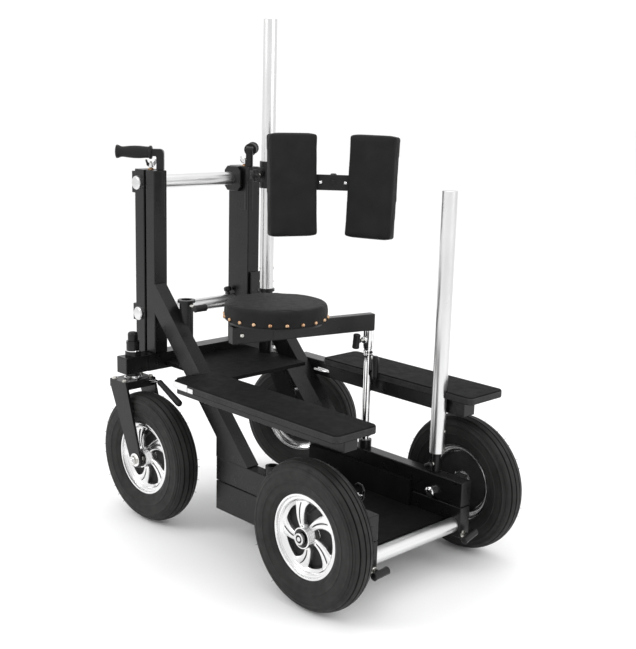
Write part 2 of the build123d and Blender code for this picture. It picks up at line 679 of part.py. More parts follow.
with BuildPart() as back_arm:
    with Locations(pole):
        Cylinder(CLAMP_R, CLAMP_H)
    with Locations((pole[0], pole[1] - CLAMP_R, BACK_Z)):
        Box(26, CLAMP_PAD, 46)
    with Locations(((pole[0] + pin[0]) / 2, pole[1], BACK_Z)):
        Box(pin[0] - pole[0], ARM_THICK, EYE_H)
    with Locations(pin):
        Cylinder(EYE_R, EYE_H)
        Cylinder(PIN_R + FIT, 2 * EYE_H, mode=Mode.SUBTRACT)
    with Locations(pole):
        Cylinder(POLE_R + FIT, 2 * CLAMP_H, mode=Mode.SUBTRACT)
save(back_arm, "backrest_arm")

vee = radians(PAD_VEE)
with BuildPart() as back_plate:
    with BuildSketch(back_plane(-PLATE_H / 2)):
        with BuildLine():
            Polyline((BACK_PLATE_OFF + BACK_WING * sin(vee), BACK_PLATE_HALF + BACK_WING * cos(vee)),
                     (BACK_PLATE_OFF, BACK_PLATE_HALF),
                     (BACK_PLATE_OFF, -BACK_PLATE_HALF),
                     (BACK_PLATE_OFF + BACK_WING * sin(vee), -BACK_PLATE_HALF - BACK_WING * cos(vee)))
            offset(amount=PLATE_T / 2, side=Side.BOTH)
        make_face()
    extrude(amount=PLATE_H)
    for low in (EYE_H / 2 + GAP, -EYE_H / 2 - GAP - LUG_T):
        with BuildSketch(back_plane(low)):
            Circle(EYE_R)
            with Locations((BACK_PLATE_OFF / 2, 0)):
                Rectangle(BACK_PLATE_OFF, 2 * EYE_R)
        extrude(amount=LUG_T)
    with Locations(pin):
        Cylinder(PIN_R, EYE_H + 2 * LUG_T + 8)
save(back_plate, "backrest_plate")

for side, sign in SIDES:
    outward = Vector(sin(vee), sign * cos(vee), 0)
    towards = Vector(cos(vee), -sign * sin(vee), 0)
    middle = Vector(BACK_PLATE_OFF, sign * BACK_PLATE_HALF, 0) + outward * (PAD_START + PAD_W / 2)
    middle += towards * (PLATE_T / 2 + PAD_STAND_OFF) - Vector(0, 0, PAD_DROP)
    rake = radians(PAD_RAKE)
    base = back_plane(0)
    with BuildPart() as pad:
        with BuildSketch(Plane(origin=middle, x_dir=outward * sign,
                               z_dir=towards * cos(rake) + Vector(0, 0, sin(rake)))):
            RectangleRounded(PAD_W, PAD_H, PAD_CORNER)
        extrude(amount=PAD_T)
        fillet(pad.faces().sort_by(Axis((0, 0, 0), towards))[-1].outer_wire().edges(), PAD_EDGE)
    pad.part = pad.part.moved(base.location)
    save(pad, f"{side}_back_pad")

# ---- build: push handles ----
for side, sign in SIDES:
    with BuildPart() as handle:
        with BuildSketch(Plane.XY.offset(BAR_FOOT)):
            Circle(BAR_R)
        extrude(amount=POST_TOP - BAR_FOOT + 4)
        with BuildSketch(Plane.XZ):
            with BuildLine():
                Polyline((-BAR_SIDE / 2, POST_TOP + 1), (-BAR_SIDE / 2, BAR_TOP + BAR_SIDE / 2),
                         (BAR_REACH + 30, BAR_TOP + BAR_SIDE / 2), (BAR_REACH + 30, BAR_TOP - BAR_SIDE / 2),
                         (BAR_SIDE / 2, BAR_TOP - BAR_SIDE / 2), (BAR_SIDE / 2, POST_TOP + 1), close=True)
            make_face()
        extrude(amount=BAR_SIDE / 2, both=True)
        fillet(handle.edges().filter_by(GeomType.LINE).group_by(Axis.Z)[-1], 1.5)
        with BuildSketch(Plane.XZ):
            with Locations((BAR_REACH + GRIP_LEN / 2, BAR_TOP + GRIP_R / 2)):
                Rectangle(GRIP_LEN, GRIP_R)
            with Locations((BAR_REACH + 4, BAR_TOP + (GRIP_R + 4) / 2)):
                Rectangle(8, GRIP_R + 4)
        revolve(axis=Axis((0, 0, BAR_TOP), (1, 0, 0)))
    handle.part = handle.part.moved(Location(put(BAR_X, sign * BAR_Y, 0), (0, 0, GRIP_HEADING[side])))
    save(handle, f"{side}_push_handle")


# ---- build: clamp knobs ----
def t_knob(label, plane, shank, bar, turn, bar_r=KNOB_BAR_R):
    """A T-handled screw that stands along the plane's Z, its bar turned about that axis."""
    angle = radians(turn)
    across = plane.x_dir * cos(angle) + plane.y_dir * sin(angle)
    top = plane.origin + plane.z_dir * (shank + bar_r)
    with BuildPart() as knob:
        with BuildSketch(plane):
            Circle(KNOB_SCREW_R)
        extrude(amount=shank + bar_r)
        with BuildSketch(Plane(origin=top - across * (bar / 2), z_dir=across)):
            Circle(bar_r)
        extrude(amount=bar)
    save(knob, label)


for side, sign in SIDES:
    front = Plane(origin=put(RAIL_FRONT + GAP, sign * RAIL_KNOB_Y, RAIL_KNOB_Z),
                  x_dir=(0, 1, 0), z_dir=(1, 0, 0))
    t_knob(f"{side}_rail_knob", front, 14, 58, RAIL_KNOB_TURN[side])
    with BuildPart() as wing:
        with Locations(put(mid(POST_GAP), sign * SCREW_Y, mid(SCREW_Z))):
            Cylinder(SCREW_R, span(SCREW_Z))
        with Locations(put(mid(POST_GAP), sign * SCREW_Y, POST_TOP + 15)):
            Cylinder(9, 10)
            Box(7, 32, 12)
    save(wing, f"{side}_wing_screw")

socket_face = Plane(origin=put(SOCKET_X + SOCKET_R + GAP, -SOCKET_Y, SOCKET_KNOB_Z),
                    x_dir=(0, 1, 0), z_dir=(1, 0, 0))
t_knob("socket_knob", socket_face, 36, 46, 0)
stub_face = Plane(origin=put(STUB_X, STUB_Y - STUB_R - GAP, RAIL_TOP + 26),
                  x_dir=(1, 0, 0), z_dir=(0, -1, 0))
t_knob("front_pole_knob", stub_face, 12, 26, 30, 8.0)
clamp_face = Plane(origin=(pole[0], pole[1] - CLAMP_R - CLAMP_PAD / 2 - GAP, BACK_Z),
                   x_dir=(1, 0, 0), z_dir=(0, -1, 0))
t_knob("backrest_knob", clamp_face, 12, 40, 70)
post_face = Plane(origin=put(SEAT_POST_X, SEAT_POST_Y - SLEEVE_R - GAP, SEAT_POST_Z[1] - 28),
                  x_dir=(1, 0, 0), z_dir=(0, -1, 0))
t_knob("seat_lever", post_face, 26, 46, 84)

# ---- build: clamps on the cross tubes ----
with BuildPart() as clamps:
    for side, sign in SIDES:
        for height, tall in ((TOP_TUBE_Z, CLAMP_TALL), (LOW_TUBE_Z, CLAMP_TALL - 14)):
            with Locations(put(POST_REAR - CLAMP_DEEP / 2, sign * mid((POST_IN, POST_OUT)), height)):
                Box(CLAMP_DEEP, span((POST_IN, POST_OUT)) - 6, tall)
    chamfer(clamps.faces().sort_by(Axis.X)[0:4].edges(), 2)
save(clamps, "tube_clamps")
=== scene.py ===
"""Looks of the camera operator's dolly.

Materials, tyres and rims, upholstery, grips, screws and other small hardware, set round the CAD frame.
"""
import bpy
import json
import random
from math import cos, sin, pi, radians
from mathutils import Matrix, Vector


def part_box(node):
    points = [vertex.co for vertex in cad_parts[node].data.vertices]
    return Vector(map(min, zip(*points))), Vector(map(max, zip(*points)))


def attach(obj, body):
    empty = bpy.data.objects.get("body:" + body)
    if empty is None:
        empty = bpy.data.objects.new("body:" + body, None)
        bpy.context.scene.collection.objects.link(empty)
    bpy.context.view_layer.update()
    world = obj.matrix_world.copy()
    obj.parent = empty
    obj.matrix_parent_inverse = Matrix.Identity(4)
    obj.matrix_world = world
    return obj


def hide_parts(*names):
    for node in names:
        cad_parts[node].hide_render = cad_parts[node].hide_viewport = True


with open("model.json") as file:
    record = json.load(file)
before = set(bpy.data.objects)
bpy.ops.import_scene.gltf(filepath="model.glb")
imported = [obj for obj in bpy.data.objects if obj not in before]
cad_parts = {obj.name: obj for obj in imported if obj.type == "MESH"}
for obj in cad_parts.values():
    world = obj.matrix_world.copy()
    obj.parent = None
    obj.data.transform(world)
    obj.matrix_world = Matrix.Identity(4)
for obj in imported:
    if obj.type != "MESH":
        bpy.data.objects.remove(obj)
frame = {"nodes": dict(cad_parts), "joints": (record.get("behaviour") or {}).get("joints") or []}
nodes = frame["nodes"]
joints = {joint["name"]: joint for joint in frame["joints"]}
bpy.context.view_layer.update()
random.seed(7)

SIDES = (("right", -1), ("left", 1))

UP = (0, 0, 1)

# ---- the point that places are counted from, in metres: the middle of the front axle ----
AXLE_X = joints["right_front_wheel_spin"]["pos_m"][0]
MID_Y = sum(joints[f"{side}_front_wheel_spin"]["pos_m"][1] for side, sign in SIDES) / 2

# ---- camera, light and floor, in metres and degrees ----
CAMERA_PLACE = (1.877, -2.130, 1.331)
CAMERA_TURN = 45.826    # round from the +Y heading
CAMERA_DOWN = 12.331
CAMERA_ROLL = -1.503
CAMERA_LENS = 59.97     # millimetres
SKY = 1.06
FLOOR_HALF = 40.0
LIGHTS = (              # name, place, target, width and height, watts
    ("key", (-1.6, -3.4, 3.0), (0, 0, 0.5), (2.0, 2.0), 60),
    ("fill", (3.4, 0.8, 2.2), (0, 0, 0.5), (1.6, 2.0), 36),
    ("top", (0.0, 0.4, 4.2), (0, 0, 0), (3.0, 3.0), 24),
)

# ---- wheels, in metres: heights are outward from the wheel's mid plane ----
TYRE_R = 0.203
SHOULDER = 0.032
CROWN_DROP = 0.0115     # the tread's fall from its middle to the shoulder
BEAD_R = 0.1145
RIM_R = 0.114
RIM_HALF = 0.028
HUB_R = 0.029
HUB_HALF = 0.038
DISC = 0.015            # front of the spokes at their ends
DISC_BACK = DISC - 0.014
SPOKES = 5
SPOKE_START = radians(132)
SPOKE_SWEEP = radians(27)
SPOKE_ROOT = 0.026
SPOKE_LENGTH = 0.070
SPOKE_RISE = 0.0045     # a spoke's root stands this much further out than its end
HAIRS = 34
VALVE_ANGLE = radians(70)
VALVE_R = 0.097

# ---- upholstery, in metres ----
VOXEL = 0.004
SHRINK = 0.0006         # the covers are made this much smaller before they swell
SEAT_SWELL = 0.0022
PAD_SWELL = 0.0016
CLOTH_FRAMES = 20
NAILS = 20
NAIL_RISE = 0.0115      # from the cushion's foot up to the row of nails

# ---- seat arm, in metres ----
ARM_HALF = 0.0138       # from its middle plane to the heads of its screws

# ---- places in millimetres from the front axle, the centre plane and the floor ----
AXLE_Z = 203
SEAT_POST = (-290, 190, 0)
SEAT_LEVER = (-290, 173.2, 598)
SHORT_POLE = (-8, 192, 0)
TALL_POLE = (-728, 162, 0)
BACK_PIN = (-432, 162, 1058)
ROD_R = 4.0             # clamp screws
KING_X = -850
KING_Y = {"right": -276, "left": 342}
BENCH_FRONT = 107
BENCH_REAR = {"right": -562, "left": -484}
BENCH_IN = 188
BENCH_OUT = 338
BENCH_CORNER = 16
POLE_NOTCH = (-32, 16)
SEAT_NOTCH = (-306, -274)
POLE_R = 21.5
TOP_TUBE_Z = 1034
LOWER_TUBE_Z = 625

# ---- angles in degrees ----
HANDLE_HEADING = {"right": 225, "left": 135}
STEER = {"right": 2.0, "left": 24.2}
RAIL_KNOB_TURN = {"right": 4, "left": 16}
SEAT_ARM_HEADING = 256.3
BACK_HEADING = -47


# ---- materials ----
def noise_node(tree, coords, scale, detail=3.0, stretch=(1, 1, 1)):
    mapping = tree.nodes.new("ShaderNodeMapping")
    mapping.inputs["Scale"].default_value = stretch
    tree.links.new(coords.outputs["Object"], mapping.inputs["Vector"])
    noise = tree.nodes.new("ShaderNodeTexNoise")
    noise.inputs["Scale"].default_value = scale
    noise.inputs["Detail"].default_value = detail
    tree.links.new(mapping.outputs["Vector"], noise.inputs["Vector"])
    return noise


def ramp(tree, source, low, high, at=(0.35, 0.65)):
    node = tree.nodes.new("ShaderNodeValToRGB")
    node.color_ramp.elements[0].position = at[0]
    node.color_ramp.elements[1].position = at[1]
    node.color_ramp.elements[0].color = low
    node.color_ramp.elements[1].color = high
    tree.links.new(source, node.inputs["Fac"])
    return node


def rgb(red, green, blue):
    return (red, green, blue, 1)


def grey(value):
    return rgb(value, value, value)


def surface(name, dark, light, rough, metallic=0.0, grain=(900, 0.05, 0.0003), mottle=18,
            stretch=(1, 1, 1), specular=0.5, cells=False):
    """A finish with mottled colour, uneven roughness and a fine bump.

    grain is the bump's scale, strength and depth; with cells, the bump is leather-like.
    """
    material = bpy.data.materials.new(name)
    material.use_nodes = True
    tree = material.node_tree
    made = tree.nodes
    link = tree.links
    shader = made["Principled BSDF"]
    coords = made.new("ShaderNodeTexCoord")
    patches = noise_node(tree, coords, mottle, 4.0, stretch)
    colour = ramp(tree, patches.outputs["Fac"], dark, light)
    link.new(colour.outputs["Color"], shader.inputs["Base Color"])
    smear = noise_node(tree, coords, mottle * 2.7, 5.0, stretch)
    uneven = ramp(tree, smear.outputs["Fac"], grey(rough[0]), grey(rough[1]), (0.3, 0.7))
    link.new(uneven.outputs["Color"], shader.inputs["Roughness"])
    if cells:
        fine = made.new("ShaderNodeTexVoronoi")
        fine.inputs["Scale"].default_value = grain[0]
        link.new(coords.outputs["Object"], fine.inputs["Vector"])
        height = fine.outputs["Distance"]
    else:
        fine = noise_node(tree, coords, grain[0], 2.0, stretch)
        height = fine.outputs["Fac"]
    bump = made.new("ShaderNodeBump")
    bump.inputs["Strength"].default_value = grain[1]
    bump.inputs["Distance"].default_value = grain[2]
    link.new(height, bump.inputs["Height"])
    link.new(bump.outputs["Normal"], shader.inputs["Normal"])
    shader.inputs["Metallic"].default_value = metallic
    shader.inputs["Specular IOR Level"].default_value = specular
    return material


STEEL = surface("black_powder_coat", grey(0.0040), grey(0.0060), (0.26, 0.34), grain=(1400, 0.08, 0.0002),
                specular=0.3)
MATT = surface("black_matt_floor", grey(0.004), grey(0.006), (0.6, 0.7), grain=(700, 0.3, 0.0004),
               specular=0.1)
BOARD = surface("black_board_top", grey(0.006), grey(0.009), (0.55, 0.66), grain=(500, 0.35, 0.0005),
                specular=0.05)
EDGING = surface("ribbed_grey_edging", grey(0.016), grey(0.024), (0.42, 0.55), grain=(900, 0.2, 0.0003),
                 specular=0.3)
ALUMINIUM = surface("satin_aluminium", grey(0.66), grey(0.72), (0.27, 0.31), 1.0, (300, 0.02, 0.0001),
                    6, (4, 4, 1))
CROSS_ALUMINIUM = surface("satin_aluminium_cross", grey(0.70), grey(0.76), (0.30, 0.34), 1.0,
                          (300, 0.02, 0.0001), 6, (4, 1, 4))
ALLOY = surface("polished_alloy", grey(0.74), grey(0.82), (0.17, 0.23), 1.0, (200, 0.01, 0.0001), 8)
CHROME = surface("chrome", grey(0.70), grey(0.82), (0.05, 0.12), 1.0, (300, 0.03, 0.0002), 40)
ZINC = surface("zinc_plated", rgb(0.52, 0.51, 0.48), rgb(0.68, 0.67, 0.63), (0.22, 0.38), 1.0,
               (600, 0.1, 0.0003), 60)
BRASS = surface("aged_brass", rgb(0.36, 0.20, 0.11), rgb(0.62, 0.43, 0.28), (0.14, 0.26), 1.0,
                (500, 0.1, 0.0003), 80)
RUBBER = surface("tyre_rubber", rgb(0.0075, 0.0073, 0.007), rgb(0.014, 0.0135, 0.013), (0.5, 0.68),
                 grain=(420, 0.3, 0.0005), specular=0.28)
VINYL = surface("black_upholstery", grey(0.0105), grey(0.0135), (0.5, 0.6), grain=(750, 0.4, 0.0005),
                specular=0.09, cells=True)
PLASTIC = surface("black_moulded_plastic", grey(0.0045), grey(0.007), (0.3, 0.4), grain=(1100, 0.2, 0.0003),
                  specular=0.3)
GRIP = surface("grip_rubber", grey(0.005), grey(0.008), (0.5, 0.62), grain=(800, 0.35, 0.0004),
               specular=0.25)
# Painted shade: a near-black finish for the strips and sheets that stand for shade in the spoke grooves,
# behind the spokes, in the seat arm's seam and in the axle ends' grooves.
SHADE = surface("painted_recess_shade", grey(0.002), grey(0.004), (0.6, 0.8))
LABEL = surface("blank_label_plate", grey(0.62), grey(0.72), (0.3, 0.4), grain=(300, 0.05, 0.0002))


def paint(material, *names):
    for name in names:
        data = nodes[name].data
        data.materials.clear()
        data.materials.append(material)


# ---- mesh helpers ----
def piece(name, verts, faces, material, body, smooth=True, angle=35):
    """A new mesh that rides on a body; edges sharper than angle stay sharp."""
    mesh = bpy.data.meshes.new(name)
    mesh.from_pydata([tuple(v) for v in verts], [], faces)
    mesh.validate()
    mesh.materials.append(material)
    obj = bpy.data.objects.new(name, mesh)
    bpy.context.scene.collection.objects.link(obj)
    if smooth:
        mesh.shade_smooth()
        mesh.set_sharp_from_angle(angle=radians(angle))
    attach(obj, body)
    return obj


def axis_matrix(origin, axis, up=(0, 0, 1)):
    """Local Z along axis, local Y as near to up as it can be."""
    z = Vector(axis).normalized()
    x = Vector(up).cross(z)
    if x.length < 1e-6:
        x = Vector((1, 0, 0)).cross(z)
    x.normalize()
    y = z.cross(x)
    matrix = Matrix((x, y, z)).transposed().to_4x4()
    matrix.translation = Vector(origin)
    return matrix


def polar(radius, angle, height):
    return Vector((radius * cos(angle), radius * sin(angle), height))


def heading(degrees):
    return polar(1, radians(degrees), 0)


def at(x, y, z):
    """Millimetres from the front axle, the centre plane and the floor, as a point in metres."""
    return Vector((AXLE_X + x / 1000, MID_Y + y / 1000, z / 1000))


def metres(profile):
    return [(height / 1000, radius / 1000) for height, radius in profile]


def lathe(profile, segments, matrix, closed=False):
    """Turns (height along Z, radius) points about local Z."""
    verts = []
    faces = []
    count = len(profile)
    for step in range(segments):
        angle = 2 * pi * step / segments
        for height, radius in profile:
            verts.append(matrix @ polar(radius, angle, height))
    rows = count if closed else count - 1
    for step in range(segments):
        here = step * count
        there = (step + 1) % segments * count
        for row in range(rows):
            above = (row + 1) % count
            faces.append((here + row, there + row, there + above, here + above))
    if not closed:
        for row, flip in ((0, False), (count - 1, True)):
            if profile[row][1] > 1e-9:
                ring = [step * count + row for step in range(segments)]
                faces.append(tuple(ring if flip else reversed(ring)))
    return verts, faces


def merged(parts):
    """Joins (verts, faces) pairs into one."""
    verts = []
    faces = []
    for some_verts, some_faces in parts:
        base = len(verts)
        verts.extend(some_verts)
        faces.extend(tuple(base + i for i in face) for face in some_faces)
    return verts, faces


def prism(outline, low, high, matrix, bevel):
    """An outline in local XY, raised from low to high along Z, with small chamfers at both ends."""
    count = len(outline)
    centre = sum((Vector(p) for p in outline), Vector((0, 0))) / count
    rings = []
    for height, inset in ((low, bevel), (low + bevel, 0), (high - bevel, 0), (high, bevel)):
        ring = []
        for point in outline:
            away = Vector(point) - centre
            ring.append(centre + away * (1 - inset / max(away.length, 1e-6)))
        rings.append((height, ring))
    verts = [matrix @ Vector((p.x, p.y, height)) for height, ring in rings for p in ring]
    faces = []
    for row in range(3):
        for i in range(count):
            j = (i + 1) % count
            low_row = row * count
            high_row = low_row + count
            faces.append((low_row + i, low_row + j, high_row + j, high_row + i))
    faces.append(tuple(reversed(range(count))))
    faces.append(tuple(range(3 * count, 4 * count)))
    return verts, faces


def hexagon(radius):
    return [tuple(polar(radius, pi / 3 * i, 0).xy) for i in range(6)]


def turned(name, profile, origin, axis, material, body, segments=36):
    """A lathed piece; its profile is in millimetres."""
    verts, faces = lathe(metres(profile), segments, axis_matrix(origin, axis))
    return piece(name, verts, faces, material, body)


def sweep(points, radii, segments=20):
    """A round bar through points, with a radius at each."""
    points = [Vector(p) for p in points]
    verts = []
    faces = []
    for i, point in enumerate(points):
        before = points[max(i - 1, 0)]
        after = points[min(i + 1, len(points) - 1)]
        frame_at = axis_matrix(point, after - before)
        for step in range(segments):
            angle = 2 * pi * step / segments
            verts.append(frame_at @ polar(radii[i], angle, 0))
    for i in range(len(points) - 1):
        for step in range(segments):
            following = (step + 1) % segments
            faces.append((i * segments + step, i * segments + following,
                          (i + 1) * segments + following, (i + 1) * segments + step))
    faces.append(tuple(reversed(range(segments))))
    last = (len(points) - 1) * segments
    faces.append(tuple(range(last, last + segments)))
    return verts, faces


def threads(low, high, radius, pitch=1.6):
    """Profile of a threaded rod in millimetres."""
    profile = []
    height = low
    while height < high - pitch:
        profile += [(height, radius - 0.7), (height + pitch / 2, radius)]
        height += pitch
    return profile + [(high - 0.3, radius - 0.7), (high, radius - 1.4), (high, 0)]


# ---- camera, light and floor ----
def set_camera():
    """A view from the front right, looking a little down."""
    turn = radians(CAMERA_TURN)
    down = radians(CAMERA_DOWN)
    roll = radians(CAMERA_ROLL)
    ahead = Vector((-sin(turn) * cos(down), cos(turn) * cos(down), -sin(down)))
    level_right = Vector((cos(turn), sin(turn), 0))
    level_down = ahead.cross(level_right)
    camera_right = level_right * cos(roll) + level_down * sin(roll)
    camera_down = level_down * cos(roll) - level_right * sin(roll)
    camera = bpy.data.objects.new("camera", bpy.data.cameras.new("camera"))
    bpy.context.scene.collection.objects.link(camera)
    matrix = Matrix((camera_right, -camera_down, -ahead)).transposed().to_4x4()
    matrix.translation = Vector(CAMERA_PLACE) + Vector((AXLE_X, MID_Y, 0))
    camera.matrix_world = matrix
    camera.data.lens = CAMERA_LENS
    camera.data.clip_end = 60
    bpy.context.scene.camera = camera


def area_light(name, place, target, size, power):
    data = bpy.data.lights.new(name, "AREA")
    data.shape = "RECTANGLE"
    data.size = size[0]
    data.size_y = size[1]
    data.energy = power
    light = bpy.data.objects.new(name, data)
    light.matrix_world = axis_matrix(place, Vector(place) - Vector(target))
    bpy.context.scene.collection.objects.link(light)


def studio():
    world = bpy.data.worlds.new("studio")
    bpy.context.scene.world = world
    world.use_nodes = True
    background = world.node_tree.nodes["Background"]
    background.inputs["Color"].default_value = (1, 1, 1, 1)
    background.inputs["Strength"].default_value = SKY
    for light in LIGHTS:
        area_light(*light)
    bpy.context.scene.view_settings.view_transform = "Standard"
    corners = [(-1, -1), (1, -1), (1, 1), (-1, 1)]
    mesh = bpy.data.meshes.new("floor")
    mesh.from_pydata([(x * FLOOR_HALF, y * FLOOR_HALF, 0) for x, y in corners], [], [(0, 1, 2, 3)])
    floor = bpy.data.objects.new("floor", mesh)
    material = surface("pale_floor", grey(0.95), grey(0.96), (0.6, 0.7), grain=(60, 0.02, 0.0003),
                       mottle=0.6)
    mesh.materials.append(material)
    bpy.context.scene.collection.objects.link(floor)


# ---- wheels ----
def tyre_profile():
    """Half round: (axial, radius) from the outer bead over the tread to the inner bead."""
    side = [(0.0255, BEAD_R), (0.0290, BEAD_R + 0.0010), (0.0315, BEAD_R + 0.0040),
            (0.0345, BEAD_R + 0.0100), (0.0352, BEAD_R + 0.0112), (0.0366, BEAD_R + 0.0120),
            (0.0376, BEAD_R + 0.0165),
            (0.0398, 0.1400), (0.0412, 0.1480), (0.0424, 0.1488), (0.0424, 0.1504), (0.0415, 0.1512),
            (0.0420, 0.1600), (0.0416, 0.1680), (0.0404, 0.1745), (0.0409, 0.1752), (0.0407, 0.1766),
            (0.0398, 0.1772), (0.0386, 0.1815), (0.0377, 0.1836), (0.0362, 0.1832), (0.0352, 0.1850),
            (0.0357, 0.1872), (0.0342, 0.1895), (0.0325, 0.1890), (0.0316, 0.1906)]
    tread = []
    for middle in (0.0225, 0.0075):
        tread += [(middle + 0.0058, crown(middle + 0.0058)), (middle + 0.0020, crown(middle + 0.002)),
                  (middle + 0.0013, crown(middle) - 0.0042), (middle - 0.0013, crown(middle) - 0.0042),
                  (middle - 0.0020, crown(middle - 0.002))]
    half = side + tread
    return half + [(-a, r) for a, r in reversed(half)]


def crown(axial):
    """The tread's radius at a distance from the mid plane."""
    return TYRE_R - CROWN_DROP * (axial / SHOULDER) ** 2


def hairs(matrix):
    """Mould hairs that stand from the shoulders."""
    parts = []
    for side in (-1, 1):
        for step in range(HAIRS):
            angle = 2 * pi * (step + random.uniform(-0.3, 0.3)) / HAIRS
            if random.random() < 0.35:
                continue
            root = polar(0.1885, angle, side * 0.0345)
            lean = Vector((cos(angle + random.uniform(-0.5, 0.5)), sin(angle), side * 0.5)).normalized()
            spot = matrix @ root
            if spot.z < 0.02:
                continue
            way = matrix.to_3x3() @ lean
            parts.append(lathe([(0, 0.0007), (0.004, 0.0006), (0.0075, 0.0002)], 5, axis_matrix(spot, way)))
    return parts


def spoke_middle(start, t):
    """Radius and angle of a swept spoke's middle line; t runs from 0 at its root to 1 at its end."""
    return SPOKE_ROOT + t * SPOKE_LENGTH, start - SPOKE_SWEEP * t ** 1.25


def spoke_height(t):
    return DISC + SPOKE_RISE * (1 - t)


def spoke(matrix, start):
    """One swept spoke with a round-edged face and a groove along its middle."""
    verts = []
    faces = []
    rows = 18
    cols = 17
    for layer in (0, 1):
        for i in range(rows):
            t = i / (rows - 1)
            radius, centre = spoke_middle(start, t)
            flare = 5.0 * max(0, t - 0.82) / 0.18 + 4.0 * max(0, 0.12 - t) / 0.12
            half = radians(17.5 - 3.0 * sin(pi * t) + flare)
            for j in range(cols):
                s = -1 + 2 * j / (cols - 1)
                angle = centre + s * half
                edge = max(0, (abs(s) - 0.62) / 0.38)
                height = spoke_height(t) - 0.0042 * edge ** 2
                if abs(s) < 0.13 and 0.16 < t < 0.90:
                    height -= 0.0012
                if layer:
                    height = DISC_BACK
                verts.append(matrix @ polar(radius, angle, height))
    size = rows * cols
    for i in range(rows - 1):
        for j in range(cols - 1):
            a = i * cols + j
            faces.append((a, a + cols, a + cols + 1, a + 1))
            faces.append((size + a, size + a + 1, size + a + cols + 1, size + a + cols))
        for a, b in ((i * cols, (i + 1) * cols), ((i + 1) * cols + cols - 1, i * cols + cols - 1)):
            faces.append((a, size + a, size + b, b))
    return verts, faces


def groove(matrix, start):
    """A dark strip of painted shade in the groove along a spoke's middle."""
    verts = []
    faces = []
    rows = 15
    for i in range(rows):
        t = 0.15 + 0.75 * i / (rows - 1)
        radius, centre = spoke_middle(start, t)
        half = (0.0011 + 0.0007 * sin(pi * i / (rows - 1))) / radius
        for s in (-1, 1):
            angle = centre + s * half
            for sunk in (0.0016, 0.0005):
                verts.append(matrix @ polar(radius, angle, spoke_height(t) - sunk))
    for i in range(rows - 1):
        a = i * 4
        for k, m in ((0, 1), (1, 3), (3, 2), (2, 0)):
            faces.append((a + k, a + m, a + 4 + m, a + 4 + k))
    faces.append((0, 2, 3, 1))
    last = (rows - 1) * 4
    faces.append((last, last + 1, last + 3, last + 2))
    return verts, faces


def spoke_starts():
    return [SPOKE_START + 2 * pi * k / SPOKES for k in range(SPOKES)]


def rim_parts(matrix):
    """The barrel with its stepped lip, the spokes, and the hub that stands proud."""
    lip = [(RIM_HALF, RIM_R), (RIM_HALF + 0.0008, RIM_R - 0.0025), (RIM_HALF, RIM_R - 0.0055),
           (RIM_HALF - 0.004, RIM_R - 0.0075), (RIM_HALF - 0.006, RIM_R - 0.0080),
           (RIM_HALF - 0.007, RIM_R - 0.0120), (RIM_HALF - 0.006, RIM_R - 0.0145),
           (RIM_HALF - 0.008, RIM_R - 0.0165)]
    disc_edge = [(DISC + 0.003, RIM_R - 0.0175), (DISC + 0.001, RIM_R - 0.0190), (DISC - 0.001, 0.0900),
                 (DISC - 0.004, 0.0875), (DISC_BACK, 0.0880)]
    inner_lip = [(-RIM_HALF + 0.010, 0.0960), (-RIM_HALF + 0.003, RIM_R - 0.008),
                 (-RIM_HALF, RIM_R - 0.004), (-RIM_HALF, RIM_R)]
    bed = [(-RIM_HALF + 0.006, RIM_R), (-RIM_HALF + 0.010, RIM_R - 0.006),
           (RIM_HALF - 0.010, RIM_R - 0.006), (RIM_HALF - 0.006, RIM_R)]
    barrel = lip + disc_edge + inner_lip + bed
    parts = [lathe(barrel, 128, matrix, closed=True)]
    parts += [spoke(matrix, start) for start in spoke_starts()]
    hub = [(HUB_HALF - 0.004, 0.0115), (HUB_HALF - 0.004, 0.0240), (HUB_HALF - 0.0005, 0.0250),
           (HUB_HALF, 0.0262), (HUB_HALF - 0.0006, 0.0282), (HUB_HALF - 0.003, HUB_R),
           (DISC + 0.006, HUB_R + 0.0004), (DISC + 0.002, HUB_R + 0.003), (DISC_BACK, HUB_R + 0.003),
           (DISC - 0.015, 0.027), (-HUB_HALF, 0.025), (-HUB_HALF, 0.0115)]
    parts.append(lathe(hub, 64, matrix, closed=True))
    return parts


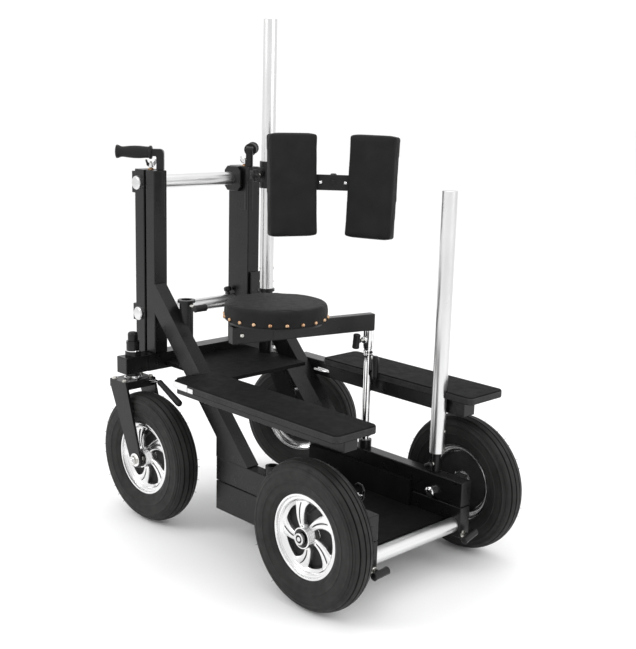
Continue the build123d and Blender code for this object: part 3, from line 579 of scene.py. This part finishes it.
def wheel(side, sign, where):
    """Tyre, rim, painted shade in the spoke grooves and behind the spokes, bearing shield and valve stem
    around one wheel's joint.
    """
    joint = joints[f"{side}_{where}_wheel_spin"]
    body = f"{side}_{where}_wheel"
    outward = Vector(joint["axis"]) * sign
    matrix = axis_matrix(joint["pos_m"], outward)
    verts, faces = merged([lathe(tyre_profile(), 192, matrix, closed=True)] + hairs(matrix))
    tyre = piece(f"{side}_{where}_tyre_skin", verts, faces, RUBBER, body, angle=50)
    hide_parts(f"{side}_{where}_tyre")
    verts, faces = merged(rim_parts(matrix))
    rim = piece(f"{side}_{where}_swept_rim", verts, faces, ALLOY, body, angle=40)
    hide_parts(f"{side}_{where}_rim")
    # A dark disc of painted shade behind the spokes, so the windows between them read dark from both sides.
    window_shade_disc = [(DISC - 0.0150, 0.0320), (DISC - 0.0150, 0.0880), (DISC - 0.0165, 0.0890),
                 (DISC - 0.0175, 0.0870), (DISC - 0.0175, 0.0320)]
    # Painted shade: the dark strips in the spoke grooves and the dark disc behind the spokes.
    grooves = [groove(matrix, start) for start in spoke_starts()]
    verts, faces = merged(grooves + [lathe(window_shade_disc, 72, matrix, closed=True)])
    piece(f"{side}_{where}_rim_painted_shade", verts, faces, SHADE, body, angle=60)
    shield = [(HUB_HALF - 0.0040, 0.0240), (HUB_HALF - 0.0032, 0.0225), (HUB_HALF - 0.0036, 0.0160),
              (HUB_HALF - 0.0046, 0.0158)]
    verts, faces = lathe(shield, 48, matrix)
    piece(f"{side}_{where}_bearing_shield", verts, faces, PLASTIC, body)
    spot = matrix @ polar(VALVE_R, VALVE_ANGLE, RIM_HALF - 0.010)
    way = matrix.to_3x3() @ polar(-0.5, VALVE_ANGLE, 0.8)
    stem = [(0, 0.0042), (0.012, 0.0040), (0.013, 0.0030), (0.020, 0.0030), (0.021, 0.0036),
            (0.027, 0.0034), (0.028, 0.0020)]
    verts, faces = lathe(stem, 16, axis_matrix(spot, way))
    piece(f"{side}_{where}_valve_stem", verts, faces, RUBBER, body)


# ---- upholstery ----
def upholster(node, name, body, swell):
    """Copies a soft CAD solid, remeshes it and blows it up as cloth, by swell at most."""
    source = nodes[node]
    obj = bpy.data.objects.new(name, source.data.copy())
    bpy.context.scene.collection.objects.link(obj)
    bpy.context.view_layer.objects.active = obj
    obj.data.materials.clear()
    obj.data.materials.append(VINYL)
    remesh = obj.modifiers.new("remesh", "REMESH")
    remesh.mode = "VOXEL"
    remesh.voxel_size = VOXEL
    applied(obj)
    mesh = obj.data
    normals = [v.normal.copy() for v in mesh.vertices]
    for vertex, normal in zip(mesh.vertices, normals):
        vertex.co -= normal * SHRINK
    start = [v.co.copy() for v in mesh.vertices]
    cloth = obj.modifiers.new("cloth", "CLOTH")
    cloth.settings.use_pressure = True
    cloth.settings.uniform_pressure_force = 4
    cloth.settings.effector_weights.gravity = 0
    cloth.settings.tension_stiffness = 30
    cloth.settings.bending_stiffness = 2
    for number in range(1, CLOTH_FRAMES + 1):
        bpy.context.scene.frame_set(number)
    applied(obj)
    bpy.context.scene.frame_set(1)
    for vertex, before in zip(obj.data.vertices, start):
        move = vertex.co - before
        if move.length > swell:
            vertex.co = before + move * (swell / move.length)
    smooth = obj.modifiers.new("smooth", "SMOOTH")
    smooth.iterations = 2
    subdivide = obj.modifiers.new("subdivide", "SUBSURF")
    subdivide.levels = 1
    subdivide.render_levels = 1
    applied(obj)
    obj.data.shade_smooth()
    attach(obj, body)
    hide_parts(node)


def applied(obj):
    """Makes the modifiers' result the object's own mesh."""
    depsgraph = bpy.context.evaluated_depsgraph_get()
    mesh = bpy.data.meshes.new_from_object(obj.evaluated_get(depsgraph))
    obj.modifiers.clear()
    obj.data = mesh


def nails():
    """Brass dome nails round the seat's lower edge, their rims pressed into the cover."""
    low, high = (Vector(corner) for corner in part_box("seat_cushion"))
    centre = (low + high) / 2
    reach = (high.x - low.x) / 2 + 0.0002
    dome = [(-0.003, 0.0056), (0.0006, 0.0056), (0.0020, 0.0047), (0.0034, 0.0026), (0.0038, 0.0)]
    parts = []
    for k in range(NAILS):
        angle = 2 * pi * (k + 0.35) / NAILS
        way = polar(1, angle, 0)
        spot = Vector((centre.x, centre.y, low.z + NAIL_RISE)) + way * reach
        parts.append(lathe(dome, 18, axis_matrix(spot, way)))
    verts, faces = merged(parts)
    piece("seat_nails", verts, faces, BRASS, "seat")


# ---- push handles ----
def push_handle(side, sign):
    """A square bar that turns a rounded corner at the top, its peg, and a grip with flared ends."""
    foot = at(-838, sign * 177, 0)
    along = heading(HANDLE_HEADING[side])
    up = Vector(UP)
    frame_at = Matrix((along, up, along.cross(up))).transposed().to_4x4()
    frame_at.translation = foot
    corner = [(0.001 + 0.012 * cos(radians(a)), 1.127 + 0.012 * sin(radians(a)))
              for a in range(90, 181, 15)]
    outline = [(0.011, 1.0762), (0.011, 1.113), (0.0125, 1.117), (0.030, 1.117), (0.030, 1.139)]
    outline += corner + [(-0.011, 1.0762)]
    bar = prism(outline, -0.011, 0.011, frame_at, 0.0012)
    peg = lathe([(0.943, 0.0092), (0.944, 0.0100), (1.0770, 0.0100)], 32, Matrix.Translation(foot))
    verts, faces = merged([bar, peg])
    square = piece(f"{side}_handle_bar", verts, faces, STEEL, f"{side}_handle")
    grip = [(25, 11), (25.4, 18.6), (27, 20.2), (31, 20.4), (33, 19.4), (34, 17.2), (45, 17.4), (62, 18.8),
            (78, 19.0), (95, 17.8), (110, 15.9), (117, 15.8), (122, 17.2), (127, 19.6), (131, 20.4),
            (133.4, 19.6), (134.6, 16.8), (135, 10), (134, 6), (134, 0)]
    middle = foot + up * 1.128
    rubber = turned(f"{side}_hand_grip", grip, middle, along, GRIP, f"{side}_handle", 48)
    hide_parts(f"{side}_push_handle")
    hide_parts(f"{side}_push_handle")


# ---- clamp screws at the top of the uprights ----
def wing_screw(side, sign):
    """A threaded rod with a brass bush and a wing nut."""
    foot = at(-873, sign * 187, 0)
    body = f"{side}_wing"
    rod = turned(f"{side}_clamp_rod", threads(1000, 1100, ROD_R), foot, UP, ZINC, body, 20)
    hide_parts(f"{side}_wing_screw")
    bush = [(1075.2, 4.2), (1075.2, 9.0), (1076.2, 9.8), (1078.6, 9.4), (1079.6, 6.4), (1081, 4.2)]
    turned(f"{side}_rod_bush", bush, foot, UP, BRASS, body)
    hub_profile = [(1.0822, 0.0042), (1.0822, 0.0092), (1.0850, 0.0094), (1.0925, 0.0076),
                   (1.0960, 0.0066), (1.0968, 0.0042)]
    hub = lathe(hub_profile, 28, Matrix.Translation(foot))
    ear = [(0.0060, 1.0838), (0.0130, 1.0862), (0.0190, 1.0935), (0.0212, 1.1010),
           (0.0190, 1.1065), (0.0150, 1.1060), (0.0125, 1.1000), (0.0062, 1.0930)]
    ears = []
    for way in (-1, 1):
        outline = [(way * x, z) for x, z in ear]
        if way < 0:
            outline.reverse()
        frame_at = axis_matrix(foot, (1, 0, 0))
        ears.append(prism(outline, -0.0019, 0.0019, frame_at, 0.0006))
    verts, faces = merged([hub] + ears)
    nut = piece(f"{side}_wing_nut", verts, faces, CHROME, body)
    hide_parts(f"{side}_wing_screw")


# ---- T-handled screws ----
def t_handle(node, body, origin, axis, across, shank, bar, turn, bar_r, washers=False):
    """A moulded bar with rounded ends on a threaded shank; shank, bar and bar_r are in millimetres."""
    axis = Vector(axis)
    across = Vector(across)
    angle = radians(turn)
    lie = across * cos(angle) + axis.cross(across) * sin(angle)
    top = origin + axis * (shank + bar_r) / 1000
    half = bar / 2
    r = bar_r
    near_end = [(-half, 0), (-half, r * 0.55), (-half + 1.2, r * 0.84), (-half + 3.4, r),
                (-half + 8, r * 0.98), (-r * 0.8, r * 0.94)]
    profile = near_end + [(0, r * 0.97)] + [(-place, radius) for place, radius in reversed(near_end)]
    handle = turned(f"{node}_bar", profile, top, lie, PLASTIC, body, 32)
    thread = threads(0, shank + bar_r * 0.4, ROD_R)
    screw = turned(f"{node}_thread", thread, origin, axis, ZINC, body, 18)
    sleeve = [(shank - 5, 4.2), (shank - 4.6, 6.6), (shank - 1, 7.4), (shank + 3, 7.0), (shank + 3, 4.2)]
    collar = turned(f"{node}_collar", sleeve, origin, axis, PLASTIC, body, 24)
    for made in (handle, screw, collar):
        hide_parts(node)
    if washers:
        rings = [(0.2, 4.2), (0.2, 10.5), (2.4, 10.8), (2.8, 8.6), (3.2, 8.2), (5.6, 8.2), (6.0, 7.0),
                 (6.4, 4.2)]
        turned(f"{node}_washers", rings, origin, axis, ZINC, body, 32)


def star_knob(node, body, origin, axis):
    """A knob with five lobes and a low cap on a threaded shank."""
    outline = []
    for step in range(60):
        angle = 2 * pi * step / 60
        radius = 0.0165 + 0.0035 * cos(5 * angle)
        outline.append(tuple(polar(radius, angle, 0).xy))
    frame_at = axis_matrix(origin, axis)
    cap = lathe([(0.030, 0.0115), (0.0325, 0.0108), (0.0338, 0.006), (0.0340, 0)], 28, frame_at)
    verts, faces = merged([prism(outline, 0.014, 0.030, frame_at, 0.0026), cap])
    star = piece(f"{node}_star", verts, faces, PLASTIC, body)
    screw = turned(f"{node}_thread", threads(0, 16, ROD_R), origin, axis, ZINC, body, 18)
    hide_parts(node)
    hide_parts(node)


# ---- rear forks ----
def fork_frame(side):
    """On the floor under the kingpin, with X toward the side on which the axle lies."""
    return Matrix.Translation(at(KING_X, KING_Y[side], 0)) @ Matrix.Rotation(radians(STEER[side]), 4, "Z")


def kingpin_rings(side):
    foot = fork_frame(side).translation
    body = f"{side}_fork_body"
    ring = [(521.6, 17), (521.6, 20.4), (523.2, 21.2), (525.8, 20.6), (527.4, 17)]
    turned(f"{side}_king_ring", ring, foot, UP, CHROME, body)
    washers = [(437.2, 20), (437.2, 27.0), (438.2, 28.0), (440.6, 28.0), (441.4, 26.4),
               (442.0, 24.0), (443.2, 24.0), (443.6, 25.6), (446.4, 25.6), (447.0, 22.2)]
    turned(f"{side}_thrust_washers", washers, foot, UP, CHROME, body)
    cap = [(547.0, 19.9), (547.4, 20.7), (549.4, 20.7), (549.8, 19.9)]
    turned(f"{side}_king_cap_groove", cap, foot, UP, STEEL, body)


def fork_bolts(side):
    """Four bolts on the crown, and a washer and a cap at each end of the axle."""
    frame_at = fork_frame(side)
    body = f"{side}_fork_body"
    washer = [(0, 0.0086), (0.0014, 0.0086), (0.0016, 0.0070)]
    bolts = []
    for x in (-0.028, 0.024):
        for y in (-0.049, 0.049):
            spot = frame_at @ Matrix.Translation((x, y, 0.4372))
            bolts.append(lathe(washer, 24, spot))
            bolts.append(prism(hexagon(0.0066), 0.0015, 0.0062, spot, 0.0006))
    verts, faces = merged(bolts)
    piece(f"{side}_crown_bolts", verts, faces, ZINC, body)
    flange = [(0.0, 0.0205), (0.0016, 0.0212), (0.0028, 0.0205), (0.0030, 0.0160)]
    cap = [(0.0118, 0.0122), (0.0128, 0.0118), (0.0130, 0.0082), (0.0172, 0.0080), (0.0182, 0.0066),
           (0.0182, 0)]
    ends = []
    for way in (-1, 1):
        spot = frame_at @ axis_matrix((0.084, way * 0.0571, AXLE_Z / 1000), (0, way, 0))
        ends.append(lathe(flange, 36, spot))
        ends.append(lathe(cap, 28, spot))
    verts, faces = merged(ends)
    piece(f"{side}_axle_washers", verts, faces, CHROME, body)


def lock_lever(side, sign):
    """A bent bar out of the crown with a tapered grip."""
    frame_at = fork_frame(side)
    y = -sign * 0.030
    points = [(0.0392, y, 0.431), (0.060, y, 0.4338), (0.080, y, 0.4365), (0.091, y, 0.436),
              (0.102, y, 0.4325)]
    verts, faces = sweep([frame_at @ Vector(p) for p in points], [0.0056, 0.005, 0.005, 0.005, 0.005])
    arm = piece(f"{side}_lever_arm", verts, faces, CHROME, f"{side}_lever")
    start = Vector((0.091, y, 0.438))
    tip = Vector((0.196, y, 0.386))
    steps = [0.0, 0.02, 0.06, 0.14, 0.45, 0.75, 0.90, 0.97, 1.0]
    radii = [0.0055, 0.0080, 0.0092, 0.0086, 0.0094, 0.0100, 0.0104, 0.0090, 0.0050]
    verts, faces = sweep([frame_at @ (start + (tip - start) * t) for t in steps], radii, 28)
    grip = piece(f"{side}_lever_grip", verts, faces, GRIP, f"{side}_lever")
    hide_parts(f"{side}_lock_lever")
    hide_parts(f"{side}_lock_lever")


# ---- bench edging and blank plates ----
def band(name, path, closed=False):
    """A ribbed strip that lies on a board's edge; path is (x, y) in millimetres, the board on its left."""
    ribs = [(-0.6, 481.2)]
    for k in range(5):
        low = 481.6 + k * 3.4
        ribs += [(0.35, low), (1.25, low + 0.7), (1.25, low + 2.3), (0.35, low + 3.0)]
    ribs += [(-0.6, 498.8)]
    count = len(path)
    verts = []
    faces = []
    for i in range(count):
        before = Vector(path[i - 1]) if (i or closed) else Vector(path[0])
        after = Vector(path[(i + 1) % count]) if (i < count - 1 or closed) else Vector(path[i])
        along = (after - before).normalized()
        out = Vector((along.y, -along.x))
        for reach, height in ribs:
            verts.append(at(path[i][0] + out.x * reach, path[i][1] + out.y * reach, height))
    rows = len(ribs)
    for i in range(count if closed else count - 1):
        j = (i + 1) % count
        for k in range(rows):
            following = (k + 1) % rows
            faces.append((i * rows + k, j * rows + k, j * rows + following, i * rows + following))
    if not closed:
        faces.append(tuple(range(rows)))
        faces.append(tuple(reversed(range((count - 1) * rows, count * rows))))
    piece(name, verts, faces, EDGING, "chassis", angle=25)


def round_corner(x, y, start):
    """A quarter round about (x, y), anticlockwise from start degrees."""
    return [(x + BENCH_CORNER * cos(radians(start + a)), y + BENCH_CORNER * sin(radians(start + a)))
            for a in range(0, 91, 15)]


def bench_edging():
    """Right board: all round. Left board: round it, and between its two notches."""
    front = BENCH_FRONT - BENCH_CORNER
    near = BENCH_IN + BENCH_CORNER
    far = BENCH_OUT - BENCH_CORNER
    rear = BENCH_REAR["right"] + BENCH_CORNER
    loop = round_corner(front, -far, -90) + round_corner(front, -near, 0)
    loop += round_corner(rear, -near, 90) + round_corner(rear, -far, 180)
    band("right_bench_edging", loop, closed=True)
    rear = BENCH_REAR["left"] + BENCH_CORNER
    loop = [(POLE_NOTCH[1], BENCH_IN)] + round_corner(front, near, -90) + round_corner(front, far, 0)
    loop += round_corner(rear, far, 90) + round_corner(rear, near, 180) + [(SEAT_NOTCH[0], BENCH_IN)]
    band("left_bench_edging", loop)
    band("left_bench_edging_middle", [(SEAT_NOTCH[1], BENCH_IN), (POLE_NOTCH[0], BENCH_IN)])


def label_plates():
    """Two blank plates with clipped corners on the right board's outer edge, at its rear end."""
    clip = 0.001
    plates = []
    for low, high, foot, top in ((-557, -490, 480.8, 500.4), (-488, -464, 480.8, 493.6)):
        frame_at = axis_matrix(at((low + high) / 2, -339.4, (foot + top) / 2), (0, -1, 0))
        half = (high - low) / 2000
        rise = (top - foot) / 2000
        outline = [(-half, -rise + clip), (-half + clip, -rise), (half - clip, -rise), (half, -rise + clip),
                   (half, rise - clip), (half - clip, rise), (-half + clip, rise), (-half, rise - clip)]
        plates.append(prism(outline, 0, 0.0012, frame_at, 0.0003))
    verts, faces = merged(plates)
    piece("blank_label_plates", verts, faces, LABEL, "chassis")


# ---- poles, posts, seat arm and back rest ----
def rivets(name, foot, radius, places, body):
    """Rivet heads on a round pole; places are (heading in degrees, height in millimetres)."""
    head = [(0, 0.0042), (0.0009, 0.0041), (0.0020, 0.0028), (0.0024, 0)]
    parts = []
    for turn, height in places:
        way = heading(turn)
        spot = foot + way * (radius - 0.3) / 1000 + Vector((0, 0, height / 1000))
        parts.append(lathe(head, 20, axis_matrix(spot, way)))
    verts, faces = merged(parts)
    piece(name, verts, faces, ZINC, body)


def seat_post_rings():
    foot = at(*SEAT_POST)
    collar = [(548, 13), (548, 14.2), (549, 14.8), (553, 14.8), (554, 14.0), (557, 14.0), (558, 14.6),
              (564, 14.6), (565, 13.8), (569, 13.8), (570, 15.4), (575, 15.4), (576, 13)]
    turned("seat_post_collar", collar, foot, UP, CHROME, "seat_column", 40)
    stop = [(296.4, 13.2), (296.4, 18.0), (298, 19.0), (305, 19.0), (306.6, 17.6), (307, 13.2)]
    turned("seat_post_stop", stop, foot, UP, STEEL, "seat_column", 40)
    cam = [(0.5, 4.2), (0.5, 9.6), (2.0, 10.4), (7.0, 10.4), (8.4, 9.0), (9.0, 4.2)]
    turned("seat_lever_cam", cam, at(*SEAT_LEVER), (0, -1, 0), CHROME, "seat_clamp", 32)


def pole_rivets():
    front = [(16, 380), (16, 323), (196, 380), (196, 323)]
    rivets("front_pole_rivets", at(*SHORT_POLE), POLE_R, front, "short_pole")
    rear = [(-122, 757), (-122, 713), (58, 757), (58, 713)]
    rivets("rear_pole_rivets", at(*TALL_POLE), POLE_R, rear, "tall_pole")


def seat_arm_details():
    """A screw head on each side of the arm, and a thin dark band of painted shade in the seam round it."""
    foot = at(*SEAT_POST)
    along = heading(SEAT_ARM_HEADING)
    side_way = Vector((along.y, -along.x, 0))
    near = foot + along * 0.432 + side_way * ARM_HALF + Vector((0, 0, 0.651))
    far = near - side_way * 2 * ARM_HALF
    head = metres([(0, 6.4), (1.6, 6.2), (2.8, 4.6), (2.8, 2.6), (1.2, 2.3), (1.2, 0)])
    heads = [lathe(head, 24, axis_matrix(place, way)) for way, place in ((side_way, near), (-side_way, far))]
    verts, faces = merged(heads)
    piece("seat_arm_screws", verts, faces, ZINC, "seat_arm_body")
    # Painted shade: a thin dark band that stands for the shade in the seam round the arm.
    half = 0.0144
    low = 0.6263
    high = 0.6768
    outline = [(-half, low), (half, low), (half, high), (-half, high)]
    frame_at = Matrix((side_way, Vector(UP), along)).transposed().to_4x4()
    frame_at.translation = foot
    verts, faces = prism(outline, 0.3315, 0.3330, frame_at, 0.0001)
    piece("seat_arm_seam_shade", verts, faces, SHADE, "seat_arm_body", smooth=False)


def back_details():
    """Two screws and a bolt on the back rest's plate, and the cap of its pin."""
    pin = at(*BACK_PIN)
    facing = heading(BACK_HEADING)
    across = Vector((-facing.y, facing.x, 0))
    plate = pin + facing * 0.0286
    head = metres([(0, 5.2), (1.2, 5.0), (2.4, 3.4), (2.4, 2.0), (1.0, 1.8), (1.0, 0)])
    parts = [lathe(head, 24, axis_matrix(plate + across * offset, facing)) for offset in (-0.036, 0.036)]
    verts, faces = merged(parts)
    piece("back_plate_screws", verts, faces, CHROME, "backrest")
    spot = axis_matrix(plate, facing)
    washer = lathe([(0, 0.0095), (0.0016, 0.0095), (0.0018, 0.0078)], 28, spot)
    verts, faces = merged([washer, prism(hexagon(0.0078), 0.0016, 0.0066, spot, 0.0008)])
    piece("back_plate_bolt", verts, faces, PLASTIC, "backrest")
    cap = [(19.6, 5), (19.6, 8.6), (20.6, 9.4), (23.4, 9.2), (25.0, 6.8), (25.4, 0)]
    turned("back_pin_cap", cap, pin, UP, STEEL, "backrest")


# ---- small fittings on the frames ----
def axle_heads(side, sign):
    """A dome on the inner face of the rail, and the hub's bare axle end with a ring of painted shade in its
    groove.
    """
    dome = [(0, 15.2), (0.6, 15.8), (2.4, 15.4), (5.0, 12.2), (6.8, 7.0), (7.4, 0)]
    inner = at(0, sign * 159.2, AXLE_Z)
    turned(f"{side}_axle_dome", dome, inner, (0, -sign, 0), CHROME, "chassis", 40)
    face = [(0, 15.6), (8.2, 15.6), (8.8, 15.0), (8.8, 11.4), (7.9, 10.8), (7.9, 6.2), (9.2, 5.6),
            (9.6, 4.6), (9.6, 0)]
    outer = at(0, sign * 347.2, AXLE_Z)
    turned(f"{side}_axle_face", face, outer, (0, sign, 0), ALUMINIUM, "chassis", 40)
    # Painted shade: a dark ring in the axle end's groove.
    ring = [(8.0, 10.7), (8.2, 10.2), (8.2, 6.8), (8.0, 6.3)]
    turned(f"{side}_axle_face_ring_shade", ring, outer, (0, sign, 0), SHADE, "chassis", 40)


def tube_fittings(side, sign):
    """End caps on the two rear cross tubes, the upper tube's collar and the lower tube's lock."""
    cap = [(0, 0.0198), (0.0010, 0.0200), (0.0022, 0.0190), (0.0030, 0.0170), (0.0032, 0)]
    ends = []
    for height, reach in ((TOP_TUBE_Z, 223), (LOWER_TUBE_Z, 221)):
        spot = axis_matrix(at(-902, sign * (reach - 0.2), height), (0, sign, 0))
        ends.append(lathe(cap, 48, spot))
    verts, faces = merged(ends)
    piece(f"{side}_tube_end_caps", verts, faces, ALUMINIUM, "chassis")
    spot = axis_matrix(at(-892, sign * 163, TOP_TUBE_Z), (0, -sign, 0))
    half = 0.040
    flat = half - 0.014
    outline = [(-flat, -half), (flat, -half), (half, -flat), (half, flat), (flat, half), (-flat, half),
               (-half, flat), (-half, -flat)]
    verts, faces = prism(outline, 0.0002, 0.0140, spot, 0.0015)
    piece(f"{side}_tube_collar", verts, faces, STEEL, "chassis")
    knob = [(0, 5), (10, 5), (11, 10), (13, 12.4), (20, 13), (25, 11), (27, 6), (27.4, 0)]
    place = at(-902, sign * 146, LOWER_TUBE_Z + 20)
    turned(f"{side}_tube_lock", knob, place, (-0.3, 0, 1), PLASTIC, "chassis", 32)


def bench_toggle():
    points = [at(-250, 181, z) for z in (482, 486, 492, 518, 542, 550, 554)]
    verts, faces = sweep(points, [0.005, 0.0085, 0.0098, 0.0092, 0.0100, 0.0086, 0.0050], 24)
    piece("bench_toggle", verts, faces, PLASTIC, "chassis")


def strut_latch():
    """A wire loop that lies level by the left strut."""
    loop = [(0, 168), (25, 168), (46, 168), (52, 166), (54, 160), (52, 154), (46, 152), (25, 152), (0, 152)]
    wire = [at(-482 + x, y, 472) for x, y in loop]
    verts, faces = sweep(wire, [0.0028] * len(wire), 16)
    piece("strut_latch", verts, faces, CHROME, "chassis")


def rail_hook():
    """A bent hook on the right rail with its stud."""
    bend = [(0, -174, 257), (6, -168, 268), (12, -164, 282), (12, -163, 298), (4, -163, 310),
            (-8, -165, 314), (-16, -167, 309)]
    hook = [at(30 + x, y, z) for x, y, z in bend]
    verts, faces = sweep(hook, [0.0042, 0.0045, 0.0045, 0.0044, 0.0042, 0.0038, 0.0024], 18)
    piece("rail_hook", verts, faces, STEEL, "chassis")
    stud = [(-4, 3.4), (8, 3.4), (8.4, 6.2), (12, 6.6), (14, 4.6), (14.4, 0)]
    turned("rail_hook_stud", stud, at(36, -166, 284), (-0.75, -0.2, 0), CHROME, "chassis", 24)


# ---- build ----
set_camera()
studio()
for side, sign in SIDES:
    for where in ("front", "rear"):
        wheel(side, sign, where)

black = ["upper_rail", "lower_box", "strut", "upright", "fork", "track_slide", "kingpin"]
for side, sign in SIDES:
    paint(STEEL, *[f"{side}_{part}" for part in black])
    paint(ZINC, f"{side}_rear_axle")
    paint(BOARD, f"{side}_bench_board")
paint(MATT, "upper_deck")
paint(STEEL, "rear_beam", "bench_beams", "pole_sockets", "seat_sockets", "pole_stub", "tube_clamps")
paint(STEEL, "seat_arm", "seat_plate", "backrest_arm", "backrest_plate")
paint(MATT, "platform_tray")
paint(CROSS_ALUMINIUM, "front_cross_tube", "top_cross_tube", "lower_cross_tube")
paint(ALUMINIUM, "rear_pole", "front_pole")
paint(CHROME, "seat_post", "front_stub_axles")

upholster("seat_cushion", "seat_upholstery", "seat", SEAT_SWELL)
for side, sign in SIDES:
    upholster(f"{side}_back_pad", f"{side}_back_upholstery", "backrest", PAD_SWELL)
nails()

for side, sign in SIDES:
    push_handle(side, sign)
    wing_screw(side, sign)
    kingpin_rings(side)
    fork_bolts(side)
    lock_lever(side, sign)
    t_handle(f"{side}_rail_knob", f"{side}_rail_clamp", at(107.3, sign * 185, 103), (1, 0, 0), (0, 1, 0),
             14, 58, RAIL_KNOB_TURN[side], 11, washers=True)
t_handle("socket_knob", "socket_clamp", at(-706.7, -162, 674), (1, 0, 0), (0, 1, 0), 36, 46, 0, 11)
t_handle("front_pole_knob", "front_pole_clamp", at(-8, 179.2, 282), (0, -1, 0), (1, 0, 0), 12, 26, 30, 8)
t_handle("seat_lever", "seat_clamp", at(*SEAT_LEVER), (0, -1, 0), (1, 0, 0), 26, 46, 84, 11)
star_knob("backrest_knob", "backrest_clamp", at(-728, 126.7, 1058), (0, -1, 0))
bench_edging()
label_plates()
seat_post_rings()
pole_rivets()
seat_arm_details()
back_details()
for side, sign in SIDES:
    axle_heads(side, sign)
    tube_fittings(side, sign)
bench_toggle()
strut_latch()
rail_hook()
